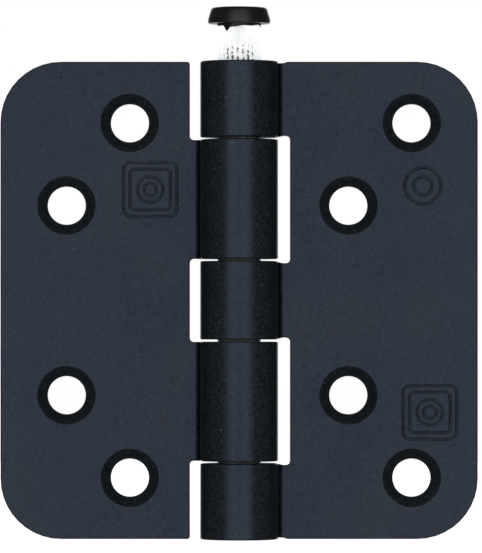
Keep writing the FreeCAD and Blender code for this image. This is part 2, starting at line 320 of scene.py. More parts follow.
def bright_zinc():
    """Electroplated bright zinc on a turned and knurled steel shaft: a pale silver metal with
    fine turning lines.  Painted shade darkens the knurl's valleys to the head's black in patches,
    and the shaft from just inside the barrel down, with a few lighter spots there as painted
    glints."""
    finish, pin = settings("finish"), settings("pin")
    material, tree = new_material("bright_zinc")
    place = add_node(tree, "ShaderNodeTexCoord").outputs["Object"]
    round_mm, lines_mm, bloom_mm, flecks_mm = 0.05, 6.0, 0.5, 1.6  # repeats to the millimetre
    drawn_out = (round_mm / MM, round_mm / MM, lines_mm / MM)
    turning = add_node(tree, "ShaderNodeMapping", {"Vector": place, "Scale": drawn_out})
    lines = add_node(tree, NOISE, {"Vector": turning, "Scale": 1.0, "Detail": 2.0})
    bloom = add_node(tree, NOISE, {"Vector": place, "Scale": bloom_mm / MM, "Detail": 4.0})
    flecks = add_node(tree, NOISE, {"Vector": place, "Scale": flecks_mm / MM, "Detail": 5.0})
    x, y, z = add_node(tree, "ShaderNodeSeparateXYZ", (place,)).outputs

    # Painted shade: the knurl's valleys darken to the enamel's black in patches, more near the
    # barrel and on the front
    x_square, y_square = (add_node(tree, MATH, (axis, 2.0), operation="POWER") for axis in (x, y))
    square = add_node(tree, MATH, (x_square, y_square), operation="ADD")
    radius = add_node(tree, MATH, (square,), operation="SQRT")
    sunk = add_node(tree, MATH, (pin.shaft_radius, radius), operation="SUBTRACT")
    valley = add_node(tree, MATH, (sunk, 0.6 * pin.knurl_depth), operation="DIVIDE")
    patches = add_node(tree, RAMP, (flecks,), ((0.40, 0.0), (0.56, 1.0)))
    above = add_node(tree, MATH, (z, HINGE_HEIGHT), operation="SUBTRACT")
    climbed = add_node(tree, MATH, (above, 4.0 * MM), operation="DIVIDE")
    climb = add_node(tree, RAMP, (climbed,), ((0.1, 1.0), (0.75, 0.45)))
    front = add_node(tree, MATH, (y, -pin.shaft_radius), operation="DIVIDE")
    run_side = add_node(tree, RAMP, (front,), ((0.55, 0.3), (0.85, 1.0)))
    kept = add_node(tree, MATH, (climb, run_side), operation="MULTIPLY")
    lying = add_node(tree, MATH, (valley, patches), operation="MULTIPLY")
    patchy = add_node(tree, MATH, (lying, kept), operation="MULTIPLY")
    # Painted shade: this mask darkens the knurl's valleys to black
    paint = add_node(tree, RAMP, (patchy,), ((0.30, 0.0), (0.60, 0.85)))

    # Painted shade: the shaft darkens from just inside the barrel down, with a few lighter spots as
    # painted glints
    inside = add_node(tree, MATH, (HINGE_HEIGHT - 0.6 * MM, z), operation="SUBTRACT")
    reach = add_node(tree, MATH, (inside, 4.0 * MM), operation="DIVIDE", use_clamp=True)
    shade_strength = add_node(tree, RAMP, (bloom,), ((0.35, 0.86), (0.65, 0.96)))
    # Where this is low the painted shade halves: lighter spots that are painted glints
    film = add_node(tree, RAMP, (flecks,), ((0.29, 0.5), (0.34, 1.0)))
    shade_with_glints = add_node(tree, MATH, (shade_strength, film), operation="MULTIPLY")
    barrel_shade = add_node(tree, MATH, (reach, shade_with_glints), operation="MULTIPLY")

    zinc_tone = add_node(
        tree, RAMP, (bloom,), ((0.3, rgba(finish.zinc, 0.92)), (0.65, rgba(finish.zinc)))
    )
    shaded_inside = add_node(
        tree, MIX, {"Factor": barrel_shade, "A": zinc_tone, "B": rgba(finish.barrel_shade)}, data_type="RGBA"
    )
    tone = add_node(
        tree, MIX, {"Factor": paint, "A": shaded_inside, "B": rgba(finish.enamel)}, data_type="RGBA"
    )
    dullness = add_node(tree, RAMP, (bloom,), ((0.3, 0.48), (0.7, 0.40)))
    turned = add_node(tree, BUMP, {"Strength": 0.25, "Distance": 0.01 * MM, "Height": lines})
    end_material(tree, {
        "Base Color": tone, "Metallic": 1.0, "Roughness": dullness, "Normal": turned,
    })
    return material


def head_enamel():
    """Black enamel brushed over the pin's head: smoother and darker than the leaves' coat, with
    low swells where the paint levelled."""
    finish = settings("finish")
    material, tree = new_material("head_enamel")
    place = add_node(tree, "ShaderNodeTexCoord").outputs["Object"]
    swells_mm, grain_mm = 0.7, 3.5  # repeats to the millimetre
    swells = add_node(tree, NOISE, {"Vector": place, "Scale": swells_mm / MM, "Detail": 3.0})
    grain = add_node(tree, NOISE, {"Vector": place, "Scale": grain_mm / MM, "Detail": 2.0})
    tone = add_node(
        tree, RAMP, (swells,), ((0.35, rgba(finish.enamel)), (0.75, rgba(finish.enamel, 1.6)))
    )
    dullness = add_node(tree, RAMP, (grain,), ((0.3, 0.30), (0.7, 0.42)))
    levelled = add_node(tree, BUMP, {"Strength": 0.4, "Distance": 0.05 * MM, "Height": swells})
    end_material(tree, {
        "Base Color": tone, "Roughness": dullness, "IOR": 1.5, "Normal": levelled,
    })
    return material


# ---------------------------------------------------------------- mesh helpers


def new_object(name, mesh):
    """An object for the mesh, linked to the scene, at the origin."""
    thing = bpy.data.objects.new(name, mesh)
    bpy.context.scene.collection.objects.link(thing)
    return thing


def mesh_from(name, points, faces):
    """A mesh whose faces all point the same way, outwards on a closed shell."""
    mesh = bpy.data.meshes.new(name)
    work = bmesh.new()
    verts = [work.verts.new(point) for point in points]
    for face in faces:
        work.faces.new([verts[index] for index in face])
    bmesh.ops.recalc_face_normals(work, faces=work.faces)
    work.to_mesh(mesh)
    work.free()
    return mesh


def finish_mesh(mesh, crease_degrees=35.0):
    """Smooth shading with true edges kept sharp."""
    mesh.shade_smooth()
    mesh.set_sharp_from_angle(angle=math.radians(crease_degrees))
    mesh.validate()


def applied(thing, modifier, name, material):
    """Turn a Geometry Nodes result into a plain mesh object and drop the working object."""
    graph = bpy.context.evaluated_depsgraph_get()
    mesh = bpy.data.meshes.new_from_object(thing.evaluated_get(graph))
    thing.modifiers.remove(modifier)
    bpy.data.objects.remove(thing)
    mesh.name = name
    mesh.materials.clear()
    mesh.materials.append(material)
    finish_mesh(mesh)
    return new_object(name, mesh)


def new_tree(name, inputs):
    """A Geometry Nodes group.  inputs lists (name, socket kind); returns tree, input node and
    the socket identifiers by name."""
    tree = bpy.data.node_groups.new(name, "GeometryNodeTree")
    identifiers = {}
    for label, kind in inputs:
        socket = tree.interface.new_socket(name=label, in_out="INPUT", socket_type=kind)
        identifiers[label] = socket.identifier
    tree.interface.new_socket(name="Geometry", in_out="OUTPUT", socket_type="NodeSocketGeometry")
    source = add_node(tree, "NodeGroupInput")
    return tree, source, identifiers


def end_tree(tree, geometry, material):
    """Close a tree with Realize Instances and Set Material."""
    real = add_node(tree, "GeometryNodeRealizeInstances", {"Geometry": geometry})
    painted = add_node(
        tree, "GeometryNodeSetMaterial", {"Geometry": real, "Material": material}
    )
    add_node(tree, "NodeGroupOutput", {"Geometry": painted})


# ---------------------------------------------------------------- outlines


def rounded_loop(corners, arc_step=math.radians(9)):
    """Points and outward normals of a polygon with rounded corners.

    corners lists (u, z, radius) counterclockwise round the metal.  The result is a list of
    (point, normal) pairs in which a straight stretch has only its ends."""
    loop = []
    count = len(corners)
    for place, (u, z, radius) in enumerate(corners):
        here = Vector((u, z))
        before = Vector(corners[place - 1][:2])
        after = Vector(corners[(place + 1) % count][:2])
        arriving = (here - before).normalized()
        leaving = (after - here).normalized()
        turn = math.atan2(
            arriving.x * leaving.y - arriving.y * leaving.x, arriving.dot(leaving)
        )
        if radius <= 0 or abs(turn) < 1e-6:
            raise ValueError("an outline corner needs a radius and a turn")
        side = math.copysign(1.0, turn)
        reach = radius * math.tan(abs(turn) / 2)
        start = here - arriving * reach
        outward = Vector((arriving.y, -arriving.x))
        centre = start - outward * side * radius
        steps = max(2, math.ceil(abs(turn) / arc_step))
        for step in range(steps + 1):
            angle = turn * step / steps
            normal = Vector((
                outward.x * math.cos(angle) - outward.y * math.sin(angle),
                outward.x * math.sin(angle) + outward.y * math.cos(angle),
            ))
            loop.append((centre + normal * side * radius, normal))
    return loop


def split_at(loop, stations, limit):
    """Add points where straight stretches left of limit cross the rolling stations."""
    shortest, least_run, clear = 0.4 * MM, 0.2 * MM, 0.05 * MM
    result = []
    for place, (point, normal) in enumerate(loop):
        result.append((point, normal))
        target, target_normal = loop[(place + 1) % len(loop)]
        if min(point.x, target.x) > limit or (target - point).length < shortest:
            continue
        low, high = sorted((point.x, target.x))
        if high - low < least_run:
            continue
        crossed = [u for u in stations if low + clear < u < high - clear]
        for u in sorted(crossed, reverse=target.x < point.x):
            share = (u - point.x) / (target.x - point.x)
            result.append((point.lerp(target, share), normal.lerp(target_normal, share)))
    return result


def circle_loop(u, z, radius, steps, hole=True):
    """A round loop: clockwise for a hole, so that its normals point out of the metal."""
    turn = -1.0 if hole else 1.0
    loop = []
    for step in range(steps):
        angle = turn * math.tau * step / steps
        spoke = Vector((math.cos(angle), math.sin(angle)))
        loop.append((Vector((u, z)) + spoke * radius, spoke * turn))
    return loop


class Blank:
    """A flat blank under construction: points are (u, depth, z), and faces index them."""

    def __init__(self):
        self.points = []
        self.faces = []

    def ring(self, loop, inset, depth):
        """A copy of a loop, moved into the metal by inset, at a depth below the face."""
        first = len(self.points)
        for point, normal in loop:
            moved = point - normal * inset
            self.points.append((moved.x, depth, moved.y))
        return list(range(first, len(self.points)))

    def wall(self, loop, profile):
        """Rings along a profile of (inset, depth), joined by quads; returns first and last."""
        rings = [self.ring(loop, inset, depth) for inset, depth in profile]
        for upper, lower in zip(rings, rings[1:]):
            self.bridge(upper, lower)
        return rings[0], rings[-1]

    def bridge(self, upper, lower):
        """Quads between two rings of equal length."""
        count = len(upper)
        for place in range(count):
            after = (place + 1) % count
            self.faces.append((upper[place], upper[after], lower[after], lower[place]))

    def fill(self, rings, lines=()):
        """Triangles over the area that the rings bound, by the even-odd rule."""
        used = [index for ring in rings for index in ring]
        local = {index: place for place, index in enumerate(used)}
        flat = [Vector((self.points[i][0], self.points[i][2])) / MM for i in used]
        edges = []
        for ring in rings:
            ends = ring[1:] + ring[:1]
            edges += [(local[a], local[b]) for a, b in zip(ring, ends)]
        edges += [(local[a], local[b]) for a, b in lines]
        found = delaunay_2d_cdt(flat, edges, [], 0, 1e-5)
        points, triangles, origins = found[0], found[2], found[3]
        corners = np.array([[points[i][:] for i in tri] for tri in triangles])
        centres = corners.mean(axis=1)
        inside = np.zeros(len(centres), dtype=bool)
        for ring in rings:
            polygon = np.array([flat[local[index]][:] for index in ring])
            inside ^= inside_polygon(centres, polygon)
        for triangle, keep in zip(triangles, inside):
            if keep:
                self.faces.append(tuple(used[origins[i][0]] for i in triangle))


def inside_polygon(centres, polygon):
    """For each centre, whether it lies inside the polygon."""
    inside = np.zeros(len(centres), dtype=bool)
    following = np.roll(polygon, -1, axis=0)
    for (ax, ay), (bx, by) in zip(polygon, following):
        if ay == by:
            continue
        spans = (ay > centres[:, 1]) != (by > centres[:, 1])
        crossing = (bx - ax) * (centres[:, 1] - ay) / (by - ay) + ax
        inside ^= spans & (centres[:, 0] < crossing)
    return inside


# ---------------------------------------------------------------- rolling


def along_path(points, count):
    """count + 1 points evenly spaced along a polyline."""
    points = np.array(points)
    steps = np.linalg.norm(np.diff(points, axis=0), axis=1)
    travelled = np.concatenate(([0.0], np.cumsum(steps)))
    wanted = np.linspace(0.0, travelled[-1], count + 1)
    return np.column_stack([np.interp(wanted, travelled, points[:, axis]) for axis in (0, 1)])


def arc_points(centre, radius, start, finish, steps):
    """Points along an arc, angles in radians."""
    angles = np.linspace(start, finish, steps + 1)
    return np.column_stack([
        centre[0] + radius * np.cos(angles), centre[1] + radius * np.sin(angles)
    ])


def rolling_rails():
    """The paths that the sheet's face and back follow from the flat leaf round the pin.

    Both are lists of (x, y) with as many stations, for the +X leaf.  The face dips to the seam,
    runs in along it and then round the bore; the back sweeps out and round the barrel."""
    sheet, barrel = settings("sheet"), settings("barrel")
    swage_steps, ring_steps, dip_steps, sweep_steps = 30, 92, 8, 40
    outer, bore, bend = BARREL_RADIUS, barrel.bore_radius, barrel.back_bend_radius
    root = math.sqrt((outer + bend) ** 2 - (BACK_PLANE + bend) ** 2)
    touch = math.atan2(BACK_PLANE + bend, root)
    seam = barrel.seam_angle
    half_slit = barrel.seam_width / 2
    dip_centre = (barrel.face_bend_start, sheet.face_plane + barrel.face_bend_radius)
    down = -math.pi / 2
    dip = arc_points(
        dip_centre, barrel.face_bend_radius, down, down - barrel.face_bend_angle, dip_steps
    )
    slit_out = seam + half_slit / outer
    slit_in = seam + half_slit / bore
    face_swage = np.vstack([
        [(root, sheet.face_plane)],
        dip,
        [(outer * math.cos(slit_out), outer * math.sin(slit_out))],
        [(bore * math.cos(slit_in), bore * math.sin(slit_in))],
    ])
    back_swage = arc_points(
        (root, BACK_PLANE + bend), bend, down, touch - math.pi, sweep_steps
    )
    curl_end = math.tau + seam - half_slit / outer
    bore_end = math.tau + seam - half_slit / bore
    face_ring = arc_points((0, 0), bore, slit_in, bore_end, ring_steps)
    back_ring = arc_points((0, 0), outer, touch, curl_end, ring_steps)
    face = np.vstack([along_path(face_swage, swage_steps), face_ring[1:]])
    back = np.vstack([along_path(back_swage, swage_steps), back_ring[1:]])
    return root, face, back


def rail_object(face, back):
    """The rails as a mesh of loose points, the face's stations first and then the back's."""
    mesh = bpy.data.meshes.new("rolling_rails")
    mesh.from_pydata([(x, y, 0.0) for x, y in np.vstack([face, back])], [], [])
    return new_object("rolling_rails", mesh)


def rolling_tree(material):
    """Geometry Nodes that roll a flat blank: a point with a station from 0 up moves to that
    station of the rails, between face and back by its depth; Side mirrors the leaf."""
    tree, source, identifiers = new_tree(
        "roll_the_knuckles",
        (
            ("Geometry", "NodeSocketGeometry"),
            ("Rails", "NodeSocketObject"),
            ("Last Station", "NodeSocketInt"),
            ("Side", "NodeSocketFloat"),
        ),
    )
    read = source.outputs
    rails = add_node(tree, "GeometryNodeObjectInfo", {"Object": read["Rails"]}).outputs["Geometry"]
    position = add_node(tree, "GeometryNodeInputPosition")
    station, depth = (
        add_node(tree, "GeometryNodeInputNamedAttribute", {"Name": name}, data_type="FLOAT")
        for name in ("station", "depth")
    )
    lower = add_node(tree, MATH, (station,), operation="FLOOR")
    following = add_node(tree, MATH, (lower, 1.0), operation="ADD")
    upper = add_node(tree, MATH, (following, read["Last Station"]), operation="MINIMUM")
    share = add_node(tree, MATH, (station, lower), operation="SUBTRACT")
    to_back = add_node(tree, MATH, (read["Last Station"], 1.0), operation="ADD")
    sides = []
    for shift in (0.0, to_back):
        ends = []
        for end in (lower, upper):
            index = add_node(tree, MATH, (end, shift), operation="ADD")
            ends.append(add_node(
                tree, "GeometryNodeSampleIndex",
                {"Geometry": rails, "Value": position, "Index": index},
                data_type="FLOAT_VECTOR", domain="POINT",
            ))
        sides.append(add_node(
            tree, MIX, {"Factor": share, "A": ends[0], "B": ends[1]}, data_type="VECTOR"
        ))
    through = add_node(
        tree, MIX, {"Factor": depth, "A": sides[0], "B": sides[1]}, data_type="VECTOR"
    )
    rolled = add_node(tree, "ShaderNodeSeparateXYZ", (through,)).outputs
    flat = add_node(tree, "ShaderNodeSeparateXYZ", (position,)).outputs
    target = add_node(tree, "ShaderNodeCombineXYZ", (rolled["X"], rolled["Y"], flat["Z"]))
    in_tab = add_node(
        tree, "FunctionNodeCompare", {"A": station, "B": 0.0},
        data_type="FLOAT", operation="GREATER_EQUAL",
    )
    roll = add_node(
        tree, "GeometryNodeSetPosition",
        {"Geometry": read["Geometry"], "Selection": in_tab, "Position": target},
    )
    flip = add_node(tree, "ShaderNodeCombineXYZ", (read["Side"], 1.0, 1.0))
    mirrored = add_node(tree, "ShaderNodeVectorMath", (position, flip), operation="MULTIPLY")
    handed = add_node(tree, "GeometryNodeSetPosition", {"Geometry": roll, "Position": mirrored})
    inside_out = add_node(
        tree, "FunctionNodeCompare", {"A": read["Side"], "B": 0.0},
        data_type="FLOAT", operation="LESS_THAN",
    )
    turned = add_node(tree, "GeometryNodeFlipFaces", {"Mesh": handed, "Selection": inside_out})
    end_tree(tree, turned, material)
    return tree, identifiers


# ---------------------------------------------------------------- leaves


def knuckle_ends(side):
    """Lower and upper ends of a leaf's knuckles, from the bottom up."""
    barrel = settings("barrel")
    height, gap = HINGE_HEIGHT, barrel.gap / 2
    first, second = barrel.first_joint, barrel.second_joint
    if side > 0:
        return (
            (0.0, first - gap),
            (second + gap, height - second - gap),
            (height - first + gap, height),
        )
    return (first + gap, second - gap), (height - second + gap, height - first - gap)


def blank_outline(side, root, tab_end):
    """Corners of a leaf's blank.  A tab that starts at the leaf's own end draws in at the bend,
    and every other end of a tab stands in a cut-out."""
    sheet, barrel = settings("sheet"), settings("barrel")
    if side > 0:
        edge, over = sheet.frame_cutout, sheet.frame_overrun
    else:
        edge, over = sheet.door_cutout, sheet.door_overrun
    height, corner, soft = HINGE_HEIGHT, sheet.cutout_corner, SOFT_CORNER
    neck, full = barrel.face_bend_start, root - FULL_WIDTH
    end_round = sheet.edge_round * END_ROUND
    drops = (0.0, barrel.swage_inset, barrel.swage_inset, 0.0)
    drawn = [(root - reach, drop) for reach, drop in zip(DRAWN_IN, drops)]
    corners = [(LEAF_REACH, 0.0, sheet.corner_radius), (LEAF_REACH, height, sheet.corner_radius)]
    if side > 0:
        corners += [(u, height - drop, soft) for u, drop in drawn]
    else:
        corners.append((edge, height, end_round))
    for low, high in reversed(knuckle_ends(side)):
        if high < height:
            corners += [(edge, high - over, corner), (neck, high - over, soft), (full, high, soft)]
        corners += [(tab_end, high, end_round), (tab_end, low, end_round)]
        if low > 0.0:
            corners += [(full, low, soft), (neck, low + over, soft), (edge, low + over, corner)]
    if side > 0:
        corners += [(u, drop, soft) for u, drop in reversed(drawn)]
    else:
        corners.append((edge, 0.0, end_round))
    return corners


def edge_profile(thickness, rounding):
    """Inset and depth down the sheet's edge: flat margin, rounding, wall, rounding, margin."""
    flat, steps = 0.15 * MM, 4
    top = []
    for step in range(steps + 1):
        angle = math.pi / 2 * step / steps
        top.append((rounding * (1 - math.sin(angle)), rounding * (1 - math.cos(angle))))
    bottom = [(inset, thickness - depth) for inset, depth in reversed(top)]
    return [(rounding + flat, 0.0), *top, *bottom, (rounding + flat, thickness)]


def hole_profile(thickness):
    """Inset and depth down a countersunk hole: soft rim, 45 degree cone, straight bore."""
    sheet = settings("sheet")
    sink = sheet.countersink_radius - HOLE_RADIUS
    soft = 0.1 * MM
    back = sheet.edge_round * 0.7
    return [
        (sink + 3 * soft, 0.0),
        (sink + soft, 0.0),
        (sink, 0.3 * soft),
        (sink - soft, soft),
        (soft, sink - soft),
        (0.0, sink + soft),
        (0.0, thickness - back),
        (0.3 * back, thickness - 0.3 * back),
        (back, thickness),
        (back + 2 * soft, thickness),
    ]


def groove_profile():
    """Offset across a stamped line and its depth: soft lips and a rounded V."""
    sheet = settings("sheet")
    half, deep = sheet.stamp_line / 2, sheet.stamp_depth
    lip = 0.12 * MM
    side = [
        (half + 2 * lip, 0.0), (half + lip, 0.0), (half, 0.07 * deep),
        (0.25 * half, 0.9 * deep), (0.08 * half, deep),
    ]
    return side + [(-offset, depth) for offset, depth in reversed(side)]


def square_loop(u, z, half, radius):
    """A rounded square round (u, z)."""
    corners = [
        (u - half, z - half, radius), (u + half, z - half, radius),
        (u + half, z + half, radius), (u - half, z + half, radius),
    ]
    return rounded_loop(corners)


def stamped_marks(side):
    """Centre lines of the stamped marks: plain rings and rounded squares that mean nothing."""
    middle = HINGE_HEIGHT / 2
    loops = []
    if side > 0:
        u, rise = FRAME_RINGS
        loops += [
            circle_loop(u, middle + rise, radius, RING_STEPS, hole=False) for radius in RING_RADII
        ]
    u, rise = FRAME_EMBLEM if side > 0 else DOOR_EMBLEM
    loops += [square_loop(u, middle + rise, half, radius) for half, radius in EMBLEM_SQUARES]
    loops += [
        circle_loop(u, middle + rise, radius, EMBLEM_STEPS, hole=False) for radius in EMBLEM_RADII
    ]
    return loops


def screw_centres(side_name):
    """Hole centres of a leaf, from the record's mounts, as distance from the axis and height."""
    centres = []
    for name, mount in MOUNTS.items():
        if not name.startswith(side_name) or mount["kind"] != "bolt_pattern":
            continue
        x, _, z = mount["pos_m"]
        half = mount["dims"]["spacing_y_mm"] * MM / 2
        centres += [(abs(x), z - half), (abs(x), z + half)]
    return centres


def tab_lines(ring, points, ends, stations):
    """Pairs of ring points that face each other across a tab at each rolling station."""
    lines = []
    reach, near_wall, snap = 0.3 * MM, 0.9 * MM, 0.04 * MM
    free = slice(3, -2)  # the stations clear of the tab's neck and of its end
    for low, high in ends:
        middle = (low + high) / 2
        edges = {-1: [], 1: []}
        for index in ring:
            u, _, z = points[index]
            if low - reach < z < high + reach and u < stations[0]:
                edges[1 if z > middle else -1].append(index)
        for station in stations[free]:
            pair = []
            for sign in (-1, 1):
                wall = high if sign > 0 else low
                near = [i for i in edges[sign] if abs(points[i][2] - wall) < near_wall]
                best = min(near, key=lambda i: abs(points[i][0] - station))
                if abs(points[best][0] - station) < snap:
                    pair.append(best)
            if len(pair) == 2:
                lines.append(tuple(pair))
    return lines


def flat_blank(name, side, root, face, back):
    """The unrolled leaf as a closed mesh with station and depth attributes."""
    sheet = settings("sheet")
    thickness = BACK_PLANE - sheet.face_plane
    spans = (
        np.linalg.norm(np.diff(face, axis=0), axis=1)
        + np.linalg.norm(np.diff(back, axis=0), axis=1)
    ) / 2
    stations = root - np.concatenate(([0.0], np.cumsum(spans)))
    corners, ends = blank_outline(side, root, stations[-1]), knuckle_ends(side)
    edge_loop = split_at(rounded_loop(corners), list(stations), root)
    blank = Blank()
    front, rear = blank.wall(edge_loop, edge_profile(thickness, sheet.edge_round))
    fronts, rears = [front], [rear]
    for u, z in screw_centres(name):
        hole = circle_loop(u, z, HOLE_RADIUS, HOLE_STEPS)
        upper, lower = blank.wall(hole, hole_profile(thickness))
        fronts.append(upper)
        rears.append(lower)
    for path in stamped_marks(side):
        outer, inner = blank.wall(path, [(-o, d) for o, d in groove_profile()])
        fronts += [outer, inner]
    blank.fill(fronts, tab_lines(front, blank.points, ends, stations))
    blank.fill(rears, tab_lines(rear, blank.points, ends, stations))
    rising = stations[::-1]
    number = np.arange(len(stations))[::-1]
    points = [(u, sheet.face_plane + depth, z) for u, depth, z in blank.points]
    mesh = mesh_from(f"{name}_blank", points, blank.faces)
    station = mesh.attributes.new("station", "FLOAT", "POINT")
    level = mesh.attributes.new("depth", "FLOAT", "POINT")
    us = np.array([point[0] for point in blank.points])
    values = np.where(us < root, np.interp(us, rising, number), -1.0)
    station.data.foreach_set("value", values)
    level.data.foreach_set("value", [point[1] / thickness for point in blank.points])
    return new_object(f"{name}_blank", mesh)


def make_leaf(name, side, material):
    """Cut the blank and roll it with Geometry Nodes."""
    root, face, back = rolling_rails()
    rails = rail_object(face, back)
    blank = flat_blank(name, side, root, face, back)
    tree, identifiers = rolling_tree(material)
    roll = blank.modifiers.new("roll", "NODES")
    roll.node_group = tree
    roll[identifiers["Rails"]] = rails
    roll[identifiers["Last Station"]] = len(face) - 1
    roll[identifiers["Side"]] = float(side)
    leaf = applied(blank, roll, f"{name}_rolled", material)
    bpy.data.objects.remove(rails)
    return leaf


# ---------------------------------------------------------------- pin


def lathe_tree(material):
    """Geometry Nodes that turn a profile and press straight ridges into a band of it."""
    tree, source, identifiers = new_tree(
        "turn_and_knurl",
        (
            ("Geometry", "NodeSocketGeometry"),
            ("Stations", "NodeSocketInt"),
            ("Ridges", "NodeSocketInt"),
            ("Points per Ridge", "NodeSocketInt"),
            ("Ridge Depth", "NodeSocketFloat"),
            ("Band Bottom", "NodeSocketFloat"),
            ("Band Top", "NodeSocketFloat"),
            ("Run-out", "NodeSocketFloat"),
        ),
    )
    read = source.outputs
    position = add_node(tree, "GeometryNodeInputPosition")
    columns = add_node(tree, MATH, (read["Ridges"], read["Points per Ridge"]), operation="MULTIPLY")
    grid = add_node(tree, "GeometryNodeMeshGrid", {
        "Size X": 1.0,
        "Size Y": 1.0,
        "Vertices X": add_node(tree, MATH, (columns, 1.0), operation="ADD"),
        "Vertices Y": read["Stations"],
    })

    # The grid's X runs once round the shaft and its Y up the profile's stations
    spread = add_node(tree, "ShaderNodeSeparateXYZ", (position,)).outputs
    round_share = add_node(tree, MATH, (spread["X"], 0.5), operation="ADD")
    up_share = add_node(tree, MATH, (spread["Y"], 0.5), operation="ADD")
    last = add_node(tree, MATH, (read["Stations"], 1.0), operation="SUBTRACT")
    risen = add_node(tree, MATH, (up_share, last), operation="MULTIPLY")
    row = add_node(tree, MATH, (risen,), operation="ROUND")
    profile = add_node(
        tree, "GeometryNodeSampleIndex",
        {"Geometry": read["Geometry"], "Value": position, "Index": row},
        data_type="FLOAT_VECTOR", domain="POINT",
    )
    at = add_node(tree, "ShaderNodeSeparateXYZ", (profile,)).outputs
    radius, height = at["X"], at["Z"]

    # Each ridge is a V, and the band fades in and out over the run-out
    turns = add_node(tree, MATH, (round_share, read["Ridges"]), operation="MULTIPLY")
    wave = add_node(tree, MATH, (turns, 0.5), operation="PINGPONG")
    valley = add_node(tree, MATH, (wave, 2.0), operation="MULTIPLY")
    fades = []
    for upper, lower in ((height, read["Band Bottom"]), (read["Band Top"], height)):
        away = add_node(tree, MATH, (upper, lower), operation="SUBTRACT")
        fades.append(add_node(tree, MATH, (away, read["Run-out"]), operation="DIVIDE"))
    mask = add_node(tree, MATH, fades, operation="MINIMUM", use_clamp=True)
    pressed = add_node(tree, MATH, (valley, mask), operation="MULTIPLY")
    cut = add_node(tree, MATH, (pressed, read["Ridge Depth"]), operation="MULTIPLY")
    reach = add_node(tree, MATH, (radius, cut), operation="SUBTRACT")
    angle = add_node(tree, MATH, (round_share, math.tau), operation="MULTIPLY")
    axes = []
    for operation in ("COSINE", "SINE"):
        turn = add_node(tree, MATH, (angle,), operation=operation)
        axes.append(add_node(tree, MATH, (reach, turn), operation="MULTIPLY"))
    target = add_node(tree, "ShaderNodeCombineXYZ", (*axes, height))
    turned = add_node(
        tree, "GeometryNodeSetPosition", {"Geometry": grid, "Position": target}
    )
    closed = add_node(
        tree, "GeometryNodeMergeByDistance", {"Geometry": turned, "Distance": 1e-7}
    )
    end_tree(tree, closed, material)
    return tree, identifiers


def shaft_profile():
    """Radius and height up the shaft, closed on the axis at both ends."""
    pin = settings("pin")
    head_under = HEAD_TOP - pin.head_height
    band_top = head_under - pin.knurl_start
    band_bottom = band_top - pin.knurl_length
    shaft, crest = pin.shaft_radius, pin.shaft_radius + 0.04 * MM
    lead, ease, plain_start, into_head = 0.5 * MM, 0.12 * MM, 3.0 * MM, 1.0 * MM
    plain_rows, knurl_rows = 24, 19
    points = [(0.0, PIN_TIP), (shaft - pin.chamfer - ease, PIN_TIP)]
    points.append((shaft - pin.chamfer, PIN_TIP + 0.3 * ease))
    points.append((shaft - ease / 3, PIN_TIP + pin.chamfer))
    points.append((shaft, PIN_TIP + pin.chamfer + ease))
    plain = np.linspace(PIN_TIP + plain_start, band_bottom - lead, plain_rows)
    points += [(shaft, z) for z in plain]
    points += [(crest, z) for z in np.linspace(band_bottom, band_top, knurl_rows)]
    points.append((shaft, band_top + lead))
    points += [(shaft, head_under + into_head), (0.0, head_under + into_head)]
    return points, band_bottom - lead, band_top + lead


def make_shaft(material):
    """The plated shaft with its straight knurl, turned by Geometry Nodes."""
    pin = settings("pin")
    profile, band_bottom, band_top = shaft_profile()
    mesh = bpy.data.meshes.new("shaft_profile")
    mesh.from_pydata([(radius, 0.0, height) for radius, height in profile], [], [])
    work = new_object("shaft_profile", mesh)
    tree, identifiers = lathe_tree(material)
    lathe = work.modifiers.new("lathe", "NODES")
    lathe.node_group = tree
    values = {
        "Stations": len(profile),
        "Ridges": pin.ridges,
        "Points per Ridge": 6,
        "Ridge Depth": pin.knurl_depth,
        "Band Bottom": band_bottom,
        "Band Top": band_top,
        "Run-out": 0.9 * MM,
    }
    for label, value in values.items():
        lathe[identifiers[label]] = value
    return applied(work, lathe, "pin_shaft", material)


def paint_edge(angle):
    """How far the head's paint reaches below the head, in metres, at an angle round the neck."""
    waves = ((0.25, 3, 0.6), (0.18, 7, 1.9))  # height against the run, count, start
    drip_place, drip_width, drip_height = math.radians(-125), 0.13, 1.9
    wander = sum(height * math.sin(count * angle + start) for height, count, start in waves)
    away = math.atan2(math.sin(angle - drip_place), math.cos(angle - drip_place))
    drip = drip_height * math.exp(-(away / drip_width) ** 2)
    return settings("pin").paint_run * (1.0 + wander + drip)


